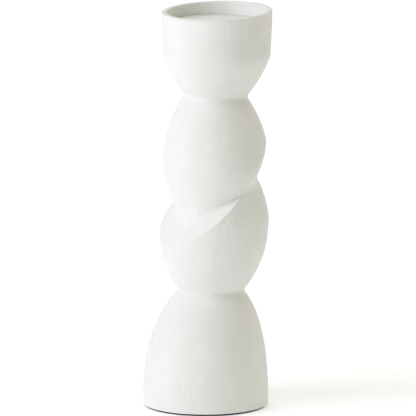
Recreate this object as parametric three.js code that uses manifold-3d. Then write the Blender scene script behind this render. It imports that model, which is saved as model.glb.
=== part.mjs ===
// A tall turned wooden candlestick for one pillar candle: a domed base, two egg-shaped bodies
// that meet on a tilted joint, and a shallow cup. Millimetres, +Z up. The origin is the middle
// of the underside. The front faces -Y.
import * as THREE from 'three';
import { mergeVertices } from 'three/addons/utils/BufferGeometryUtils.js';
import Module from 'manifold-3d';

const wasm = await Module();
wasm.setup();

// Driving dimensions.
const GLUE_GAP = 0.2;             // glue line between two turned pieces
const SEGMENTS = 48;              // facets around a turned piece

const PAD_RADIUS = 48.0;
const PAD_THICKNESS = 1.6;

const BASE_RADIUS = 49.8;
const BASE_TOP_Z = 92.6;          // joint between the base and the lower body
const BASE_TOP_RADIUS = 25.9;
const BASE_LEAN = 4.2;            // sideways drift of the dome between its foot and its top
const BASE_EDGE = 1.2;            // eased lower edge

const LOWER_BELLY_Z = 149.5;
const LOWER_BELLY_RADIUS = 43.3;
const LOWER_FOOT_RADIUS = 24.7;
const LOWER_HEAD_Z = 192;
const LOWER_HEAD_RADIUS = 26.6;
const LOWER_AXIS_X = 6.2;         // where its turning axis crosses z = 132
const LOWER_AXIS_SLOPE = 0.038;

const UPPER_TAIL_Z = 152;
const UPPER_TAIL_RADIUS = 31.0;
const UPPER_BELLY_Z = 193.2;
const UPPER_BELLY_RADIUS = 42.4;
const UPPER_TOP_Z = 249.1;        // joint between the upper body and the cup
const UPPER_TOP_RADIUS = 24.4;
const UPPER_AXIS_X = 8.2;         // where its turning axis crosses z = 207
const UPPER_AXIS_SLOPE = -0.015;

const CUP_AXIS_X = 9.0;
const CUP_FOOT_RADIUS = 23.9;
const CUP_SHOULDER_Z = 284;
const CUP_SHOULDER_RADIUS = 42.5;
const CUP_RIM_Z = 317.2;
const CUP_RIM_RADIUS = 43.9;
const RIM_TILT = 1.48;            // degrees, the rim rises towards +X
const RIM_TILT_BACK = 0.33;       // and a little towards +Y
const RIM_EDGE = 0.9;
const RECESS_RADIUS = 39.7;
const RECESS_DEPTH = 10.9;

const JOINT_X = 7.0;              // the tilted joint crosses the stack here
const JOINT_Z = 171.9;
const JOINT_TILT = 25.3;          // degrees from level
const JOINT_HEADING = 211.5;      // degrees, the way the joint plane falls, seen from above

const CUT_TILT = 30.6;            // the second turning, which cuts the V groove
const CUT_HEADING = 209.6;
const SHOULDER_X = 6.1;           // centre of the groove's lower flank
const SHOULDER_Z = 171.3;
const UNDERCUT_X = 8.1;           // centre of its upper flank
const UNDERCUT_Z = 168.0;
const UNDERCUT_RADIUS = 34.5;     // at that centre
const UNDERCUT_FLARE = 1.024;     // radius gained per millimetre up the second axis
const UNDERCUT_CURVE = 0.001;     // and a little more with the square of the height

const DOWEL_RADIUS = 6;
const DOWEL_LENGTH = 50;
const PIN_RADIUS = 3;
const PIN_LENGTH = 26;
const PIN_OFFSET = 19;            // from the dowel, down the slope of the tilted joint
const HOLE_CLEARANCE = 0.15;      // on the radius
const HOLE_SPARE = 1.5;           // beyond each end of a dowel
const FLUTES = 12;

const PLATE_RADIUS = 38.9;
const PLATE_THICKNESS = 1.2;
const PLATE_EDGE = 0.4;

// Materials.
function paintedWood() {
  return new THREE.MeshStandardMaterial({ color: 0xf1f1ec, roughness: 0.85, metalness: 0 });
}

function bareBeech() {
  return new THREE.MeshStandardMaterial({ color: 0xd2b184, roughness: 0.75, metalness: 0 });
}

function darkFelt() {
  return new THREE.MeshStandardMaterial({ color: 0x2c2c2e, roughness: 0.95, metalness: 0 });
}

function paintedSteel() {
  return new THREE.MeshStandardMaterial({ color: 0xeeeeea, roughness: 0.55, metalness: 0 });
}

// Turns a profile of [radius, height] points, which runs from axis to axis, about the Z axis.
function turned(profile, segments = SEGMENTS) {
  const points = profile.map(([radius, height]) => new THREE.Vector2(radius, height));
  return new THREE.LatheGeometry(points, segments).rotateX(Math.PI / 2);
}

// One smooth stretch of a profile. Each end has a handle that sets the slope there.
function sweep(start, startHandle, endHandle, end, steps) {
  const corners = [start, startHandle, endHandle, end].map(([r, z]) => new THREE.Vector2(r, z));
  return new THREE.CubicBezierCurve(...corners).getPoints(steps).map((point) => [point.x, point.y]);
}

// Slides every level of a shape sideways by shiftAt(z), the way a leaning axis does.
function leaned(geometry, shiftAt) {
  const position = geometry.attributes.position;
  for (let i = 0; i < position.count; i += 1) {
    position.setX(i, position.getX(i) + shiftAt(position.getZ(i)));
  }
  return geometry;
}

// Closed geometry to a solid that can be cut.
function solidFrom(geometry) {
  const bare = geometry.clone();
  bare.deleteAttribute('normal');
  bare.deleteAttribute('uv');
  const welded = mergeVertices(bare, 1e-4);
  const corners = welded.index.array;
  const triangles = [];
  for (let i = 0; i < corners.length; i += 3) {
    const [a, b, c] = [corners[i], corners[i + 1], corners[i + 2]];
    if (a !== b && b !== c && c !== a) {
      triangles.push(a, b, c);
    }
  }
  const mesh = new wasm.Mesh({
    numProp: 3,
    vertProperties: new Float32Array(welded.attributes.position.array),
    triVerts: new Uint32Array(triangles),
  });
  return new wasm.Manifold(mesh);
}

// Solid to a named mesh.
function pieceFrom(solid, name, material) {
  const { vertProperties, triVerts } = solid.getMesh();
  const geometry = new THREE.BufferGeometry();
  geometry.setAttribute('position', new THREE.BufferAttribute(new Float32Array(vertProperties), 3));
  geometry.setIndex(new THREE.BufferAttribute(new Uint32Array(triVerts), 1));
  geometry.computeVertexNormals();
  const piece = new THREE.Mesh(geometry, material);
  piece.name = name;
  return piece;
}

// A frame whose Z axis leans by tilt degrees towards a heading.
function tiltedFrame(x, z, tilt, headingDegrees) {
  const heading = THREE.MathUtils.degToRad(headingDegrees);
  const acrossSlope = new THREE.Vector3(-Math.sin(heading), Math.cos(heading), 0);
  const turn = new THREE.Quaternion().setFromAxisAngle(acrossSlope, THREE.MathUtils.degToRad(tilt));
  return new THREE.Matrix4().compose(new THREE.Vector3(x, 0, z), turn, new THREE.Vector3(1, 1, 1));
}

const JOINT_FRAME = tiltedFrame(JOINT_X, JOINT_Z, JOINT_TILT, JOINT_HEADING);
const SHOULDER_FRAME = tiltedFrame(SHOULDER_X, SHOULDER_Z, CUT_TILT, CUT_HEADING);
const UNDERCUT_FRAME = tiltedFrame(UNDERCUT_X, UNDERCUT_Z, CUT_TILT, CUT_HEADING);
const BASE_JOINT_FRAME = new THREE.Matrix4().makeTranslation(BASE_LEAN, 0, BASE_TOP_Z);
const CUP_JOINT_FRAME = new THREE.Matrix4().makeTranslation(CUP_AXIS_X - 0.8, 0, UPPER_TOP_Z);

// A point in the tilted joint's plane, a little way down its slope from the middle.
function pinFrame() {
  const heading = THREE.MathUtils.degToRad(JOINT_HEADING);
  const along = new THREE.Vector3(Math.cos(heading), Math.sin(heading), 0).multiplyScalar(PIN_OFFSET);
  return JOINT_FRAME.clone().multiply(new THREE.Matrix4().makeTranslation(along));
}

// Everything on one side of the tilted joint.
function jointSide(side) {
  const reach = 200;
  const block = new THREE.BoxGeometry(reach, reach, reach);
  block.translate(0, 0, side * (reach / 2 + GLUE_GAP / 2));
  return solidFrom(block.applyMatrix4(JOINT_FRAME));
}

// A blind hole on both sides of a joint, for a dowel or pin at that joint.
function dowelHole(radius, length, frame) {
  const hole = new THREE.CylinderGeometry(
    radius + HOLE_CLEARANCE,
    radius + HOLE_CLEARANCE,
    length + 2 * HOLE_SPARE,
    24,
  );
  return solidFrom(hole.rotateX(Math.PI / 2).applyMatrix4(frame));
}

// The domed base: upright at its foot, drifting sideways as it narrows.
function baseSolid() {
  const foot = PAD_THICKNESS;
  const profile = [
    [0, foot],
    [BASE_RADIUS - BASE_EDGE, foot],
    [BASE_RADIUS, foot + BASE_EDGE],
    ...sweep([BASE_RADIUS, 6], [BASE_RADIUS, 20.8], [49.2, 66.9], [BASE_TOP_RADIUS, BASE_TOP_Z], 16),
    [0, BASE_TOP_Z],
  ];
  const dome = leaned(turned(profile), (z) => BASE_LEAN * (z / BASE_TOP_Z) ** 2.2);
  return solidFrom(dome).subtract(dowelHole(DOWEL_RADIUS, DOWEL_LENGTH, BASE_JOINT_FRAME));
}

// The material that the second turning leaves below the groove: a rounded shoulder.
function shoulderEnvelope() {
  const profile = [
    [0, -130],
    [77.4, -130],
    ...sweep([77.4, -34.7], [77.4, -23.8], [46, -6.5], [28.7, 6], 14),
    [0, 6],
  ];
  return solidFrom(turned(profile).applyMatrix4(SHOULDER_FRAME));
}

// The material that the second turning leaves above the groove: a nearly straight undercut.
function undercutEnvelope() {
  const flankPoint = (height) => {
    const radius = UNDERCUT_RADIUS + UNDERCUT_FLARE * height + UNDERCUT_CURVE * height ** 2;
    return [radius, height];
  };
  const profile = [[0, -12], ...[-12, 0, 12, 24, 36, 100].map(flankPoint), [0, 100]];
  return solidFrom(turned(profile).applyMatrix4(UNDERCUT_FRAME));
}

// The lower egg, with the crescent ledge that the second turning cuts in its shoulder.
function lowerBodySolid() {
  const foot = BASE_TOP_Z + GLUE_GAP;
  const belly = [LOWER_BELLY_RADIUS, LOWER_BELLY_Z];
  const profile = [
    [0, foot],
    ...sweep([LOWER_FOOT_RADIUS, foot], [42.7, 113.7], [LOWER_BELLY_RADIUS, 138], belly, 12),
    ...sweep(belly, [LOWER_BELLY_RADIUS, 157], [37.9, 177.2], [LOWER_HEAD_RADIUS, LOWER_HEAD_Z], 8).slice(1),
    [0, LOWER_HEAD_Z],
  ];
  const axisX = (z) => LOWER_AXIS_X + LOWER_AXIS_SLOPE * (z - 132);
  return solidFrom(leaned(turned(profile), axisX))
    .intersect(shoulderEnvelope())
    .intersect(jointSide(-1))
    .subtract(dowelHole(DOWEL_RADIUS, DOWEL_LENGTH, BASE_JOINT_FRAME))
    .subtract(dowelHole(DOWEL_RADIUS, DOWEL_LENGTH, JOINT_FRAME))
    .subtract(dowelHole(PIN_RADIUS, PIN_LENGTH, pinFrame()));
}

// The upper egg, undercut on its high side where the groove passes.
function upperBodySolid() {
  const top = UPPER_TOP_Z - GLUE_GAP;
  const belly = [UPPER_BELLY_RADIUS, UPPER_BELLY_Z];
  const profile = [
    [0, UPPER_TAIL_Z],
    ...sweep([UPPER_TAIL_RADIUS, UPPER_TAIL_Z], [35.7, 169.1], [UPPER_BELLY_RADIUS, 187.6], belly, 10),
    ...sweep(belly, [UPPER_BELLY_RADIUS, 209.7], [36.4, 233.2], [UPPER_TOP_RADIUS, top], 12).slice(1),
    [0, top],
  ];
  const axisX = (z) => UPPER_AXIS_X + UPPER_AXIS_SLOPE * (z - 207);
  return solidFrom(leaned(turned(profile), axisX))
    .intersect(undercutEnvelope())
    .intersect(jointSide(1))
    .subtract(dowelHole(DOWEL_RADIUS, DOWEL_LENGTH, JOINT_FRAME))
    .subtract(dowelHole(PIN_RADIUS, PIN_LENGTH, pinFrame()))
    .subtract(dowelHole(DOWEL_RADIUS, DOWEL_LENGTH, CUP_JOINT_FRAME));
}

// Height gained towards +X and +Y by the slightly tilted rim, none at the foot of the cup.
function tiltedRim(geometry) {
  const slope = Math.tan(THREE.MathUtils.degToRad(RIM_TILT));
  const slopeBack = Math.tan(THREE.MathUtils.degToRad(RIM_TILT_BACK));
  const position = geometry.attributes.position;
  for (let i = 0; i < position.count; i += 1) {
    const z = position.getZ(i);
    const share = Math.max(0, z - CUP_SHOULDER_Z) / (CUP_RIM_Z - CUP_SHOULDER_Z);
    position.setZ(i, z + share * (slope * position.getX(i) + slopeBack * position.getY(i)));
  }
  return geometry;
}

// The cup: a rounded bowl below, a nearly straight wall above, and a flat recess for the candle.
function cupSolid() {
  const foot = UPPER_TOP_Z;
  const shoulder = [CUP_SHOULDER_RADIUS, CUP_SHOULDER_Z];
  const profile = [
    [0, foot],
    ...sweep([CUP_FOOT_RADIUS, foot], [35.3, 262], [CUP_SHOULDER_RADIUS, 279], shoulder, 12),
    [CUP_RIM_RADIUS, CUP_RIM_Z - RIM_EDGE],
    [CUP_RIM_RADIUS - RIM_EDGE, CUP_RIM_Z],
    [0, CUP_RIM_Z],
  ];
  const bowl = tiltedRim(turned(profile)).translate(CUP_AXIS_X, 0, 0);
  const floor = CUP_RIM_Z - RECESS_DEPTH;
  const recess = new THREE.CylinderGeometry(RECESS_RADIUS, RECESS_RADIUS, 40, SEGMENTS);
  recess.rotateX(Math.PI / 2).translate(CUP_AXIS_X, 0, floor + 20);
  return solidFrom(bowl)
    .subtract(solidFrom(recess))
    .subtract(dowelHole(DOWEL_RADIUS, DOWEL_LENGTH, CUP_JOINT_FRAME));
}

// A fluted dowel with bevelled ends, centred on its joint.
function flutedDowel(name, radius, length, frame) {
  const outline = [];
  const steps = FLUTES * 4;
  const bevel = radius / 8;
  for (let i = 0; i < steps; i += 1) {
    const angle = (i / steps) * 2 * Math.PI;
    const flute = (1 - Math.cos(angle * FLUTES)) / 2;
    const reach = radius * (1 - 0.06 * flute) - bevel;
    outline.push(new THREE.Vector2(reach * Math.cos(angle), reach * Math.sin(angle)));
  }
  const geometry = new THREE.ExtrudeGeometry(new THREE.Shape(outline), {
    depth: length - 2 * bevel,
    bevelEnabled: true,
    bevelSize: bevel,
    bevelThickness: bevel,
    bevelSegments: 1,
  });
  geometry.translate(0, 0, bevel - length / 2);
  return pieceFrom(solidFrom(geometry.applyMatrix4(frame)), name, bareBeech());
}

// The round pad glued under the base.
function basePad() {
  const pad = new THREE.CylinderGeometry(PAD_RADIUS, PAD_RADIUS, PAD_THICKNESS, SEGMENTS);
  pad.rotateX(Math.PI / 2).translate(0, 0, PAD_THICKNESS / 2);
  return pieceFrom(solidFrom(pad), 'base_felt_pad', darkFelt());
}

// The loose steel plate that keeps wax off the wood.
function dripPlate() {
  const profile = [
    [0, 0],
    [PLATE_RADIUS - PLATE_EDGE, 0],
    [PLATE_RADIUS, PLATE_EDGE],
    [PLATE_RADIUS, PLATE_THICKNESS - PLATE_EDGE],
    [PLATE_RADIUS - PLATE_EDGE, PLATE_THICKNESS],
    [0, PLATE_THICKNESS],
  ];
  const plate = turned(profile).translate(CUP_AXIS_X, 0, CUP_RIM_Z - RECESS_DEPTH);
  return pieceFrom(solidFrom(plate), 'drip_plate', paintedSteel());
}

const candlestick = new THREE.Group();
candlestick.name = 'wooden_candlestick';
candlestick.add(
  basePad(),
  pieceFrom(baseSolid(), 'domed_base', paintedWood()),
  pieceFrom(lowerBodySolid(), 'lower_body', paintedWood()),
  pieceFrom(upperBodySolid(), 'upper_body', paintedWood()),
  pieceFrom(cupSolid(), 'candle_cup', paintedWood()),
  flutedDowel('base_joint_dowel', DOWEL_RADIUS, DOWEL_LENGTH, BASE_JOINT_FRAME),
  flutedDowel('tilted_joint_dowel', DOWEL_RADIUS, DOWEL_LENGTH, JOINT_FRAME),
  flutedDowel('tilted_joint_pin', PIN_RADIUS, PIN_LENGTH, pinFrame()),
  flutedDowel('cup_joint_dowel', DOWEL_RADIUS, DOWEL_LENGTH, CUP_JOINT_FRAME),
  dripPlate(),
);

export default candlestick;
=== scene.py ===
"""A tall white candlestick of turned wood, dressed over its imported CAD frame.

The four turned pieces are modelled as one column: every egg, dome and cup is a field of
revolution, the second turning is a pair of tilted flanks, and smooth unions soften the
creases as the paint does. Each piece is the part of that column between its joints.
"""
import math
import bpy
import numpy as np
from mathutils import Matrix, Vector


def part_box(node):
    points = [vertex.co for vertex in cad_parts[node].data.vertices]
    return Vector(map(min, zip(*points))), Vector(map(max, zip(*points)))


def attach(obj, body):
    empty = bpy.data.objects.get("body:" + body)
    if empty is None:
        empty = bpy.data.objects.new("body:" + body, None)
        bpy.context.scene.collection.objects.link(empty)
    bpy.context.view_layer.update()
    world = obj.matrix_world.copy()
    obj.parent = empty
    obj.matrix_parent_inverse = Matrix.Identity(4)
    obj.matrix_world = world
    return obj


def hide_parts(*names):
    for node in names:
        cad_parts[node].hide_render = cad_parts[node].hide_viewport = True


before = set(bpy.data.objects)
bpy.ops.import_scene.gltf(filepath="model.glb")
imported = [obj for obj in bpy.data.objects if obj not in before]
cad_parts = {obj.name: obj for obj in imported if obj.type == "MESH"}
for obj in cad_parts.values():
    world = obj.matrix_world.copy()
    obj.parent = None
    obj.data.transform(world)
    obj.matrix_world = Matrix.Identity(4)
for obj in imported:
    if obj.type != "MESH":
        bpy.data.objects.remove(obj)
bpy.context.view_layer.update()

MM = 0.001

# Sizes that the frame gives, in millimetres.


def box_mm(node):
    low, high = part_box(node)
    return np.array(low) / MM, np.array(high) / MM


PAD_LOW, PAD_HIGH = box_mm("base_felt_pad")
BASE_LOW, BASE_HIGH = box_mm("domed_base")
CUP_LOW, CUP_HIGH = box_mm("candle_cup")
PLATE_LOW, PLATE_HIGH = box_mm("drip_plate")

BASE_RADIUS = (BASE_HIGH[1] - BASE_LOW[1]) / 2
BASE_FOOT = BASE_LOW[2]
BASE_TOP = BASE_HIGH[2]
CUP_FOOT = CUP_LOW[2]
CUP_AXIS = (CUP_LOW[0] + CUP_HIGH[0]) / 2
RIM_RADIUS = (CUP_HIGH[1] - CUP_LOW[1]) / 2
CUP_FLOOR = PLATE_LOW[2]

# Shape of the turned pieces, in millimetres and degrees. A heading is the side of the column
# that something faces, seen from above: 0 is the right, 270 the front.
BASE_LEAN = 4.2
BASE_LEAN_POWER = 2.2
BASE_EDGE = 0.4
BASE_FOOT_SHOULDER = 6
BASE_TOP_RADIUS = 25.9

LOWER_BELLY_RADIUS = 43.3
LOWER_BELLY = 149.5
LOWER_AXIS = 6.2
LOWER_AXIS_SLOPE = 0.038

UPPER_BELLY_RADIUS = 42.4
UPPER_BELLY = 193.2
UPPER_AXIS = 8.2
UPPER_AXIS_SLOPE = -0.015

CUP_JOINT_OFFSET = -0.8
CUP_SHOULDER = 284.0
CUP_SHOULDER_RADIUS = 42.5
RIM_HEIGHT = 317.2
RIM_TILT = 1.48
RIM_TILT_BACK = 0.33
RIM_EDGE = 0.8
RECESS_RADIUS = 39.7
RECESS_COVE = 0.5
TURNING_RING_PITCH = 1.9
TURNING_RING_DEPTH = 0.08
FINE_RING_PITCH = 0.8
FINE_RING_DEPTH = 0.05
RECESS_PAINT = 0.15

JOINT_CENTRE = np.array([7.0, 0.0, 171.9])
JOINT_TILT = 25.3
JOINT_HEADING = 211.5
CUT_TILT = 30.6
CUT_HEADING = 209.6
SHOULDER_CENTRE = np.array([6.1, 0.0, 171.3])
UNDERCUT_CENTRE = np.array([8.1, 0.0, 168.0])
UNDERCUT_RADIUS = 34.5
UNDERCUT_FLARE = 1.024
UNDERCUT_CURVE = 0.001
UNDERCUT_CURVE_START = -12
UNDERCUT_CURVE_END = 45

DOWEL_HOLE_RADIUS = 6.15
DOWEL_HOLE_DEPTH = 26.5

PAD_ROUNDING = 0.6
PLATE_DISH = 0.15
PLATE_DISH_RUN = 4.0

# How softly the paint fills a crease or rounds a ridge, and how widely round the column. The
# higher a power, the narrower the stretch around its heading.
NECK_SOFTNESS = 3.6
RIDGE_SOFTNESS = 0.4
LIP_HEIGHT = 0.45
LIP_WIDTH = 1.0
LIP_HEADING = 278.0
LIP_POWER = 8
EDGE_SOFTNESS = 1.2
EDGE_SOFTNESS_FRONT = 8.0
EDGE_HEADING = 20.0
EDGE_POWER = 3
CREASE_SOFTNESS = 0.6
COVE_SOFTNESS = 7.0
COVE_HEADING = 238.0
COVE_POWER = 11
COVE_HEADING_RIGHT = 332.0
COVE_POWER_RIGHT = 30

# How finely the column is ringed, and where its surface is searched for.
SPOKES = 320
BASE_RINGS = 230
BODY_RINGS = 260
CUP_RINGS = 200
CROWDING = 0.55
SEARCH_INNER = 5.0
SEARCH_OUTER = 62.0
SEARCH_STEPS = 22
SHARP_ANGLE = 38


# Curves and noise.


def sweep(start, start_handle, end_handle, end, steps=80):
    """A cubic stretch of a profile, as rows of radius and height."""
    t = np.linspace(0, 1, steps)[:, None]
    points = [np.array(p, float) for p in (start, start_handle, end_handle, end)]
    return (
        (1 - t) ** 3 * points[0]
        + 3 * (1 - t) ** 2 * t * points[1]
        + 3 * (1 - t) * t**2 * points[2]
        + t**3 * points[3]
    )


def extended(curve, reach=40):
    """A profile carried on straight at both ends, so that it can cross its neighbours."""
    first = curve[0] + (curve[0] - curve[1]) / abs(curve[0][1] - curve[1][1]) * reach
    last = curve[-1] + (curve[-1] - curve[-2]) / abs(curve[-1][1] - curve[-2][1]) * reach
    return np.vstack([first, curve, last])


def value_noise(points, seed):
    """Smooth noise from -1 to 1, one cell per unit."""
    cell = np.floor(points).astype(np.int64)
    f = points - cell
    f = f * f * (3 - 2 * f)
    total = 0.0
    for dx in (0, 1):
        for dy in (0, 1):
            for dz in (0, 1):
                key = (cell[..., 0] + dx) * 374761393 + (cell[..., 1] + dy) * 668265263
                key += (cell[..., 2] + dz) * 974634777 + seed * 362437
                key = (key ^ (key >> 13)) * 1274126177 & 0x7FFFFFFF
                value = ((key ^ (key >> 16)) & 0xFFFF) / 32767.5 - 1
                weight = np.where(dx, f[..., 0], 1 - f[..., 0])
                weight = weight * np.where(dy, f[..., 1], 1 - f[..., 1])
                weight = weight * np.where(dz, f[..., 2], 1 - f[..., 2])
                total = total + value * weight
    return total


def soft_max(a, b, softness):
    near = np.maximum(softness - np.abs(a - b), 0) / softness
    return np.maximum(a, b) + near**2 * softness / 4


def soft_min(a, b, softness):
    return -soft_max(-a, -b, softness)


# The column as a field: negative inside the wood.


def turned_field(radius, height, curve):
    """Distance outside a profile of revolution, near enough."""
    heights, radii = curve[:, 1], curve[:, 0]
    if heights[0] > heights[-1]:
        heights, radii = heights[::-1], radii[::-1]
    here = np.interp(height, heights, radii)
    slope = np.interp(height, heights, np.gradient(radii, heights))
    return (radius - here) / np.sqrt(1 + slope**2)


BASE_FOOT_POINT = (BASE_RADIUS, BASE_FOOT_SHOULDER)
BASE_TOP_POINT = (BASE_TOP_RADIUS, BASE_TOP)
BASE_CURVE = extended(sweep(BASE_FOOT_POINT, (BASE_RADIUS, 20.8), (49.2, 66.9), BASE_TOP_POINT))

LOWER_BELLY_POINT = (LOWER_BELLY_RADIUS, LOWER_BELLY)
LOWER_CURVE = extended(
    np.vstack(
        [
            sweep((24.7, BASE_TOP), (42.7, 113.7), (LOWER_BELLY_RADIUS, 138), LOWER_BELLY_POINT),
            sweep(LOWER_BELLY_POINT, (LOWER_BELLY_RADIUS, 157), (37.9, 177.2), (26.6, 192))[1:],
        ]
    )
)

UPPER_BELLY_POINT = (UPPER_BELLY_RADIUS, UPPER_BELLY)
UPPER_CURVE = extended(
    np.vstack(
        [
            sweep((31.0, 152), (35.7, 169.1), (UPPER_BELLY_RADIUS, 187.6), UPPER_BELLY_POINT),
            sweep(UPPER_BELLY_POINT, (UPPER_BELLY_RADIUS, 209.7), (36.4, 233.2), (24.4, CUP_FOOT))[1:],
        ]
    )
)

CUP_SHOULDER_POINT = (CUP_SHOULDER_RADIUS, CUP_SHOULDER)
CUP_CURVE = extended(
    np.vstack(
        [
            sweep((23.9, CUP_FOOT), (35.3, 262), (CUP_SHOULDER_RADIUS, 279), CUP_SHOULDER_POINT),
            [(RIM_RADIUS, RIM_HEIGHT)],
        ]
    )
)

SHOULDER_CURVE = extended(sweep((77.4, -34.7), (77.4, -23.8), (46.0, -6.5), (28.7, 6)))


def axes_of(tilt, heading=JOINT_HEADING):
    """In-plane axes and normal of a plane that falls by tilt degrees towards heading."""
    t, h = math.radians(tilt), math.radians(heading)
    down = np.array([math.cos(t) * math.cos(h), math.cos(t) * math.sin(h), -math.sin(t)])
    across = np.array([-math.sin(h), math.cos(h), 0.0])
    normal = np.array([math.sin(t) * math.cos(h), math.sin(t) * math.sin(h), math.cos(t)])
    return down, across, normal


def cut_coordinates(points, centre):
    """Height along the second turning's axis, and distance from it."""
    offset = points - centre
    normal = axes_of(CUT_TILT, CUT_HEADING)[2]
    height = offset @ normal
    return height, np.linalg.norm(offset - height[..., None] * normal, axis=-1)


def around(points, axis_x):
    return np.hypot(points[..., 0] - axis_x, points[..., 1])


def lobe(points, heading, power):
    """1 on the side of the column that faces heading, falling off around it."""
    angle = np.arctan2(points[..., 1], points[..., 0] - JOINT_CENTRE[0])
    return (0.5 + 0.5 * np.cos(angle - math.radians(heading))) ** power


def base_field(points):
    z = points[..., 2]
    drift = BASE_LEAN * (np.clip(z, 0, None) / BASE_TOP) ** BASE_LEAN_POWER
    return turned_field(around(points, drift), z, BASE_CURVE)


def lower_field(points):
    z = points[..., 2]
    egg = turned_field(around(points, LOWER_AXIS + LOWER_AXIS_SLOPE * (z - 132)), z, LOWER_CURVE)
    height, radius = cut_coordinates(points, SHOULDER_CENTRE)
    shoulder = turned_field(radius, height, SHOULDER_CURVE)
    shoulder = np.where(height < SHOULDER_CURVE[1][1], radius - SHOULDER_CURVE[1][0], shoulder)
    ridge = np.exp(-(((egg - shoulder) / LIP_WIDTH) ** 2)) * lobe(points, LIP_HEADING, LIP_POWER)
    return soft_max(egg, shoulder, RIDGE_SOFTNESS) - LIP_HEIGHT * ridge


def edge_softness(points):
    """The edge above the undercut is crisp on the right and rounds off to the front."""
    crisp = lobe(points, EDGE_HEADING, EDGE_POWER)
    return EDGE_SOFTNESS_FRONT + (EDGE_SOFTNESS - EDGE_SOFTNESS_FRONT) * crisp


def upper_field(points):
    z = points[..., 2]
    egg = turned_field(around(points, UPPER_AXIS + UPPER_AXIS_SLOPE * (z - 207)), z, UPPER_CURVE)
    height, radius = cut_coordinates(points, UNDERCUT_CENTRE)
    flank_radius = UNDERCUT_RADIUS + UNDERCUT_FLARE * height
    flank_radius += UNDERCUT_CURVE * np.clip(height, UNDERCUT_CURVE_START, UNDERCUT_CURVE_END) ** 2
    flank = (radius - flank_radius) / math.hypot(1, UNDERCUT_FLARE)
    return soft_max(egg, flank, edge_softness(points))


def cup_field(points):
    return turned_field(around(points, CUP_AXIS), points[..., 2], CUP_CURVE)


def cove_softness(points):
    """The crease is filled softly on the front left and front right, crisp elsewhere."""
    filled = lobe(points, COVE_HEADING, COVE_POWER)
    filled += lobe(points, COVE_HEADING_RIGHT, COVE_POWER_RIGHT)
    return CREASE_SOFTNESS + (COVE_SOFTNESS - CREASE_SOFTNESS) * filled


def column_field(points):
    middle = soft_min(lower_field(points), upper_field(points), cove_softness(points))
    column = soft_min(base_field(points), middle, NECK_SOFTNESS)
    return soft_min(column, cup_field(points), NECK_SOFTNESS)


def hand_finish(points):
    """How far the hand-worked, painted surface stands off the true turned one."""
    slow = value_noise(points / np.array([34.0, 34.0, 42.0]), 3)
    facet = value_noise(points / np.array([9.0, 9.0, 16.0]), 11)
    dimple = value_noise(points / np.array([3.2, 3.2, 5.0]), 17)
    patch = np.clip(0.5 + 0.9 * value_noise(points / 24.0, 29), 0, 1)
    brush = value_noise(points / np.array([2.2, 2.2, 14.0]), 23)
    return 0.14 * slow + 0.08 * facet + 0.32 * dimple * patch + 0.02 * brush


# Rings of points, from which the pieces are skinned.


def ring_directions(tilt, heading):
    angle = np.linspace(0, 2 * np.pi, SPOKES, endpoint=False) - math.radians(heading)
    down, across, normal = axes_of(tilt, heading)
    return np.cos(angle)[:, None] * down + np.sin(angle)[:, None] * across, normal


def column_rings(start, end, heading, count):
    """Rings on the column's surface between two planes, each (centre, tilt).

    The rings crowd towards both ends, where the creases are.
    """
    share = np.linspace(0, 1, count)
    share = (1 - CROWDING) * share + CROWDING * (0.5 - 0.5 * np.cos(np.pi * share))
    centres = start[0] + share[:, None] * (end[0] - start[0])
    tilts = start[1] + share * (end[1] - start[1])
    spokes = np.stack([ring_directions(tilt, heading)[0] for tilt in tilts])
    inner = np.full(spokes.shape[:2], SEARCH_INNER)
    outer = np.full(spokes.shape[:2], SEARCH_OUTER)
    for _ in range(SEARCH_STEPS):
        middle = (inner + outer) / 2
        inside = column_field(centres[:, None] + spokes * middle[..., None]) < 0
        inner = np.where(inside, middle, inner)
        outer = np.where(inside, outer, middle)
    points = centres[:, None] + spokes * inner[..., None]
    return list(points + spokes * hand_finish(points)[..., None])


def flat_rings(edge, centre, radius, count=5):
    """Rings that carry a flat face from its edge in to a circle."""
    outward = edge - centre
    length = np.linalg.norm(outward, axis=1, keepdims=True)
    hole = centre + outward / length * radius
    return [edge + (hole - edge) * share for share in np.linspace(0, 1, count + 1)[1:]]


def socket_rings(edge, centre, normal, side):
    """A joint face with its blind dowel hole. side is 1 when the hole runs up the normal."""
    face = flat_rings(edge, centre, DOWEL_HOLE_RADIUS)
    depth = side * DOWEL_HOLE_DEPTH * normal
    return face + [face[-1] + depth], centre + depth


def level_ring(centre_x, radius, height):
    ring = ring_directions(0, 0)[0] * radius
    return ring + np.array([centre_x, 0.0, height])


def rim_ring(radius, height, share=1.0):
    """A level ring of the cup that takes a share of the rim's slight tilt."""
    ring = level_ring(CUP_AXIS, radius, height)
    slope = np.tan(np.radians([RIM_TILT, RIM_TILT_BACK])) * share
    ring[:, 2] += (ring[:, 0] - CUP_AXIS) * slope[0] + ring[:, 1] * slope[1]
    return ring


def skin(name, first, rings, last):
    """A closed mesh through the rings, with a fan at each end."""
    points = np.vstack([first, *rings, last]) * MM
    faces = []
    step = np.arange(SPOKES)
    following = (step + 1) % SPOKES
    for i in range(len(rings) - 1):
        low, high = 1 + i * SPOKES, 1 + (i + 1) * SPOKES
        quads = np.stack([low + step, low + following, high + following, high + step], axis=1)
        faces.extend(quads.tolist())
    top = 1 + (len(rings) - 1) * SPOKES
    end = len(points) - 1
    faces.extend([[0, 1 + b, 1 + a] for a, b in zip(step.tolist(), following.tolist())])
    faces.extend([[end, top + a, top + b] for a, b in zip(step.tolist(), following.tolist())])
    mesh = bpy.data.meshes.new(name)
    mesh.from_pydata(points.tolist(), [], faces)
    mesh.validate()
    mesh.shade_smooth()
    mesh.set_sharp_from_angle(angle=math.radians(SHARP_ANGLE))
    piece = bpy.data.objects.new(name, mesh)
    bpy.context.scene.collection.objects.link(piece)
    return piece


# The pieces.

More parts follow.
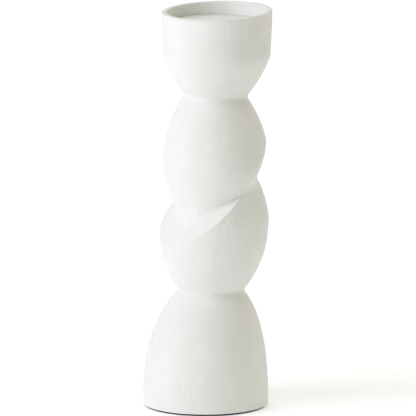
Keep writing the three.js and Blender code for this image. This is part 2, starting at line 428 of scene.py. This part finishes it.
BASE_JOINT = np.array([BASE_LEAN, 0.0, BASE_TOP])
CUP_JOINT = np.array([CUP_AXIS + CUP_JOINT_OFFSET, 0.0, CUP_FOOT])
UP = np.array([0.0, 0.0, 1.0])


def make_base():
    wall = column_rings((np.array([0.0, 0.0, BASE_FOOT]), 0), (BASE_JOINT, 0), 0, BASE_RINGS)
    for ring in wall:
        rise = ring[0][2] - BASE_FOOT
        if rise < BASE_EDGE:
            ease = BASE_EDGE - math.sqrt(BASE_EDGE**2 - (BASE_EDGE - rise) ** 2)
            ring[:, :2] *= 1 - ease / BASE_RADIUS
    foot = np.array([0.0, 0.0, BASE_FOOT])
    under = flat_rings(wall[0], foot, 3.0)[::-1]
    socket, end = socket_rings(wall[-1], BASE_JOINT, UP, -1)
    return skin("turned_base", foot, under + wall + socket, end)


def make_lower_body():
    wall = column_rings((BASE_JOINT, 0), (JOINT_CENTRE, JOINT_TILT), JOINT_HEADING, BODY_RINGS)
    below, start = socket_rings(wall[0], BASE_JOINT, UP, 1)
    above, end = socket_rings(wall[-1], JOINT_CENTRE, axes_of(JOINT_TILT)[2], -1)
    return skin("turned_lower_body", start, below[::-1] + wall + above, end)


def make_upper_body():
    wall = column_rings((JOINT_CENTRE, JOINT_TILT), (CUP_JOINT, 0), JOINT_HEADING, BODY_RINGS)
    below, start = socket_rings(wall[0], JOINT_CENTRE, axes_of(JOINT_TILT)[2], 1)
    above, end = socket_rings(wall[-1], CUP_JOINT, UP, -1)
    return skin("turned_upper_body", start, below[::-1] + wall + above, end)


def make_cup():
    """The bowl, its rounded lip, and the recess with turning rings on its wall."""
    top = RIM_HEIGHT - RIM_EDGE
    centre = np.array([CUP_AXIS, 0.0, top])
    tilt = math.hypot(RIM_TILT, RIM_TILT_BACK)
    heading = math.degrees(math.atan2(RIM_TILT_BACK, RIM_TILT)) + 180
    wall = column_rings((CUP_JOINT, 0), (centre, tilt), heading, CUP_RINGS)
    lip = []
    for turn in np.linspace(0, np.pi / 2, 8)[1:]:
        radius = RIM_RADIUS - RIM_EDGE + RIM_EDGE * math.cos(turn)
        lip.append(rim_ring(radius, top + RIM_EDGE * math.sin(turn)))
    for turn in np.linspace(np.pi / 2, np.pi, 8):
        radius = RECESS_RADIUS + RIM_EDGE + RIM_EDGE * math.cos(turn)
        lip.append(rim_ring(radius, top + RIM_EDGE * math.sin(turn)))
    inside = []
    depth = top - CUP_FLOOR
    for share in np.linspace(0, 1, 60)[1:]:
        height = top + (CUP_FLOOR + RECESS_COVE - top) * share
        fine = TURNING_RING_DEPTH * math.sin(2 * math.pi * depth * share / TURNING_RING_PITCH)
        fine += FINE_RING_DEPTH * math.sin(2 * math.pi * depth * share / FINE_RING_PITCH + 1)
        inside.append(rim_ring(RECESS_RADIUS - RECESS_PAINT + fine, height, 1 - share))
    for turn in np.linspace(0, np.pi / 2, 6)[1:]:
        radius = RECESS_RADIUS - RECESS_COVE * math.sin(turn)
        inside.append(level_ring(CUP_AXIS, radius, CUP_FLOOR + RECESS_COVE * (1 - math.sin(turn))))
    floor = np.array([CUP_AXIS, 0.0, CUP_FLOOR])
    floor_rings = flat_rings(inside[-1], floor, 2.0, 8)
    socket, start = socket_rings(wall[0], CUP_JOINT, UP, 1)
    return skin("turned_cup", start, socket[::-1] + wall + lip + inside + floor_rings, floor)


def make_pad():
    """Pressed felt with a softly rounded, slightly uneven edge."""
    radius = (PAD_HIGH[0] - PAD_LOW[0]) / 2
    thickness = PAD_HIGH[2] - PAD_LOW[2]
    angle = np.linspace(0, 2 * np.pi, SPOKES, endpoint=False)
    uneven = 0.12 * np.sin(angle * 23 + 1) + 0.08 * np.sin(angle * 57) - 0.2
    rings = []
    for turn in np.linspace(-np.pi / 2, np.pi / 2, 9):
        height = thickness * (0.5 + 0.5 * math.sin(turn))
        ring = level_ring(0, radius - PAD_ROUNDING + PAD_ROUNDING * math.cos(turn), height)
        ring[:, :2] *= (1 + uneven * math.cos(turn) / radius)[:, None]
        rings.append(ring)
    low = np.array([0.0, 0.0, 0.0])
    high = np.array([0.0, 0.0, thickness])
    under = flat_rings(rings[0], low, 3.0, 6)[::-1]
    over = flat_rings(rings[-1], high, 3.0, 6)
    return skin("felt_pad", low, under + rings + over, high)


def make_plate():
    """The thin loose plate, with a rolled edge and a barely dished middle."""
    radius = (PLATE_HIGH[0] - PLATE_LOW[0]) / 2
    low_z, high_z = PLATE_LOW[2], PLATE_HIGH[2]
    roll = (high_z - low_z) / 2
    rings = []
    for turn in np.linspace(-np.pi / 2, np.pi / 2, 11):
        height = (low_z + high_z) / 2 + roll * math.sin(turn)
        rings.append(level_ring(CUP_AXIS, radius - roll + roll * math.cos(turn), height))
    low = np.array([CUP_AXIS, 0.0, low_z])
    high = np.array([CUP_AXIS, 0.0, high_z - PLATE_DISH])
    under = flat_rings(rings[0], low, 3.0, 5)[::-1]
    over = flat_rings(rings[-1], high, 3.0, 12)
    for ring in over:
        distance = np.hypot(ring[0][0] - CUP_AXIS, ring[0][1])
        ring[:, 2] = high_z - PLATE_DISH * min(1.0, (radius - roll - distance) / PLATE_DISH_RUN)
    return skin("steel_drip_plate", low, under + rings + over, high)


# Materials.


class Nodes:
    """Short calls for building a material's nodes."""

    def __init__(self, name):
        self.material = bpy.data.materials.new(name)
        self.material.use_nodes = True
        self.tree = self.material.node_tree
        self.shader = self.tree.nodes["Principled BSDF"]

    def add(self, kind, **settings):
        node = self.tree.nodes.new(kind)
        for key, value in settings.items():
            setattr(node, key, value)
        return node

    def link(self, source, target):
        self.tree.links.new(source, target)

    def coordinates(self, scale):
        """Object coordinates in metres, stretched by scale (cells per metre)."""
        source = self.add("ShaderNodeTexCoord")
        mapping = self.add("ShaderNodeMapping")
        mapping.inputs["Scale"].default_value = scale
        self.link(source.outputs["Object"], mapping.inputs["Vector"])
        return mapping.outputs["Vector"]

    def noise(self, scale, detail=3.0, roughness=0.5):
        node = self.add("ShaderNodeTexNoise")
        node.inputs["Scale"].default_value = 1.0
        node.inputs["Detail"].default_value = detail
        node.inputs["Roughness"].default_value = roughness
        self.link(self.coordinates(scale), node.inputs["Vector"])
        return node.outputs["Fac"]

    def ramp(self, value, low, high):
        """Maps 0.3 to 0.7 of a noise to a pair of colours or greys."""
        node = self.add("ShaderNodeValToRGB")
        node.color_ramp.elements[0].position = 0.3
        node.color_ramp.elements[1].position = 0.7
        node.color_ramp.elements[0].color = (*low, 1)
        node.color_ramp.elements[1].color = (*high, 1)
        self.link(value, node.inputs["Fac"])
        return node.outputs["Color"]

    def bump(self, value, height, before=None):
        """Adds a bump of that height in metres on top of an earlier one."""
        node = self.add("ShaderNodeBump")
        node.inputs["Strength"].default_value = 1.0
        node.inputs["Distance"].default_value = height
        self.link(value, node.inputs["Height"])
        if before is not None:
            self.link(before, node.inputs["Normal"])
        return node.outputs["Normal"]


def painted_wood():
    """Chalky off-white paint over turned wood: soft mottling, brush marks and open grain."""
    n = Nodes("chalk_painted_wood")
    mottle = n.noise((45, 45, 36), 5.0, 0.6)
    n.link(n.ramp(mottle, (0.80, 0.798, 0.778), (0.838, 0.837, 0.822)), n.shader.inputs["Base Color"])
    chalk = n.noise((900, 900, 500), 3.0, 0.6)
    n.link(n.ramp(chalk, (0.72,) * 3, (0.92,) * 3), n.shader.inputs["Roughness"])
    n.shader.inputs["Specular IOR Level"].default_value = 0.3
    grain = n.noise((1100, 1100, 60), 4.0, 0.6)
    normal = n.bump(grain, 0.00005)
    brush = n.noise((320, 320, 60), 3.0, 0.5)
    normal = n.bump(brush, 0.0001, normal)
    dimple = n.noise((300, 300, 260), 3.0, 0.55)
    normal = n.bump(dimple, 0.00024, normal)
    pores = n.noise((2600, 2600, 1500), 2.0, 0.5)
    normal = n.bump(pores, 0.00004, normal)
    n.link(normal, n.shader.inputs["Normal"])
    return n.material


def bare_beech():
    """Pale beech with a fine straight grain and small darker flecks."""
    n = Nodes("bare_beech")
    grain = n.noise((700, 700, 40), 5.0, 0.6)
    n.link(n.ramp(grain, (0.55, 0.38, 0.22), (0.70, 0.52, 0.33)), n.shader.inputs["Base Color"])
    n.link(n.ramp(grain, (0.6,) * 3, (0.8,) * 3), n.shader.inputs["Roughness"])
    n.link(n.bump(grain, 0.0001), n.shader.inputs["Normal"])
    return n.material


def dark_felt():
    """Dark pressed felt with matted fibres."""
    n = Nodes("dark_felt")
    fibre = n.noise((1800, 1800, 1800), 6.0, 0.7)
    n.link(n.ramp(fibre, (0.012, 0.012, 0.014), (0.045, 0.045, 0.05)), n.shader.inputs["Base Color"])
    n.shader.inputs["Roughness"].default_value = 0.95
    n.shader.inputs["Sheen Weight"].default_value = 0.2
    n.link(n.bump(fibre, 0.0004), n.shader.inputs["Normal"])
    return n.material


def painted_steel():
    """Satin off-white paint on thin steel, with a slight orange peel."""
    n = Nodes("painted_steel")
    cloud = n.noise((60, 60, 60), 3.0, 0.5)
    n.link(n.ramp(cloud, (0.80, 0.80, 0.77), (0.825, 0.825, 0.80)), n.shader.inputs["Base Color"])
    peel = n.noise((900, 900, 900), 2.0, 0.4)
    n.link(n.ramp(peel, (0.42,) * 3, (0.56,) * 3), n.shader.inputs["Roughness"])
    n.link(n.bump(peel, 0.00003), n.shader.inputs["Normal"])
    return n.material


# Putting it together.


def dress(piece, material, body, node):
    piece.data.materials.append(material)
    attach(piece, body)
    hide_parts(node)


wood = painted_wood()
dress(make_base(), wood, "candlestick", "domed_base")
dress(make_lower_body(), wood, "candlestick", "lower_body")
dress(make_upper_body(), wood, "candlestick", "upper_body")
dress(make_cup(), wood, "candlestick", "candle_cup")
dress(make_pad(), dark_felt(), "candlestick", "base_felt_pad")
dress(make_plate(), painted_steel(), "drip_plate", "drip_plate")

beech = bare_beech()
for node in ("base_joint_dowel", "tilted_joint_dowel", "tilted_joint_pin", "cup_joint_dowel"):
    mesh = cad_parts[node].data
    mesh.materials.clear()
    mesh.materials.append(beech)


# Floor, light and camera.

LIGHT_DISTANCE = 2.4
FLOOR_REACH = 20.0
FLOOR_GLOW = 0.27
WORLD_STRENGTH = 0.325


def make_floor():
    """A plain pale floor that fills the picture, with a slight glow that keeps it white."""
    corners = [(FLOOR_REACH * x, FLOOR_REACH * y, 0) for x, y in ((-1, -1), (1, -1), (1, 1), (-1, 1))]
    mesh = bpy.data.meshes.new("floor")
    mesh.from_pydata(corners, [], [(0, 1, 2, 3)])
    floor = bpy.data.objects.new("floor", mesh)
    bpy.context.scene.collection.objects.link(floor)
    material = bpy.data.materials.new("pale_floor")
    material.use_nodes = True
    shader = material.node_tree.nodes["Principled BSDF"]
    shader.inputs["Base Color"].default_value = (0.93, 0.93, 0.92, 1)
    shader.inputs["Roughness"].default_value = 0.9
    shader.inputs["Emission Color"].default_value = (0.87, 0.87, 0.95, 1)
    shader.inputs["Emission Strength"].default_value = FLOOR_GLOW
    mesh.materials.append(material)


def make_light(name, azimuth, elevation, size, power, colour):
    """A softbox that looks at the middle of the candlestick from that direction."""
    a, e = math.radians(azimuth), math.radians(elevation)
    towards = Vector((math.cos(e) * math.cos(a), math.cos(e) * math.sin(a), math.sin(e)))
    light = bpy.data.lights.new(name, "AREA")
    light.shape = "RECTANGLE"
    light.size, light.size_y = size
    light.energy = power
    light.color = colour
    lamp = bpy.data.objects.new(name, light)
    lamp.location = Vector((0, 0, RIM_HEIGHT / 2 * MM)) + towards * LIGHT_DISTANCE
    lamp.rotation_euler = (-towards).to_track_quat("-Z", "Y").to_euler()
    bpy.context.scene.collection.objects.link(lamp)


def make_world():
    world = bpy.data.worlds.new("studio")
    world.use_nodes = True
    background = world.node_tree.nodes["Background"]
    background.inputs["Color"].default_value = (0.99, 1.0, 0.76, 1)
    background.inputs["Strength"].default_value = WORLD_STRENGTH
    bpy.context.scene.world = world


CAMERA_DISTANCE = 12.0
CAMERA_ELEVATION = 10.88
CAMERA_TARGET = Vector((0.0020, 0.0, 0.1584))
CAMERA_LENS = 1312.3


def make_camera():
    elevation = math.radians(CAMERA_ELEVATION)
    back = Vector((0, -math.cos(elevation), math.sin(elevation)))
    data = bpy.data.cameras.new("camera")
    data.lens = CAMERA_LENS
    data.sensor_width = 36
    data.clip_end = 50
    camera = bpy.data.objects.new("camera", data)
    camera.location = CAMERA_TARGET + back * CAMERA_DISTANCE
    camera.rotation_euler = (-back).to_track_quat("-Z", "Y").to_euler()
    bpy.context.scene.collection.objects.link(camera)
    bpy.context.scene.camera = camera


make_floor()
make_world()
make_light("key", 200, 30, (1.0, 1.0), 9.8, (0.86, 0.87, 1.0))
make_light("soft_key", 210, 30, (2.0, 2.0), 28.3, (0.86, 0.87, 1.0))
make_light("high_front", 262, 62, (1.0, 1.0), 6.5, (1.0, 0.95, 0.9))
make_light("fill", 35, 30, (2.0, 2.0), 14.0, (1.0, 0.91, 0.85))
make_light("back", 90, 35, (2.0, 2.0), 18.9, (0.83, 0.845, 1.0))
make_camera()
bpy.context.scene.view_settings.view_transform = "Standard"
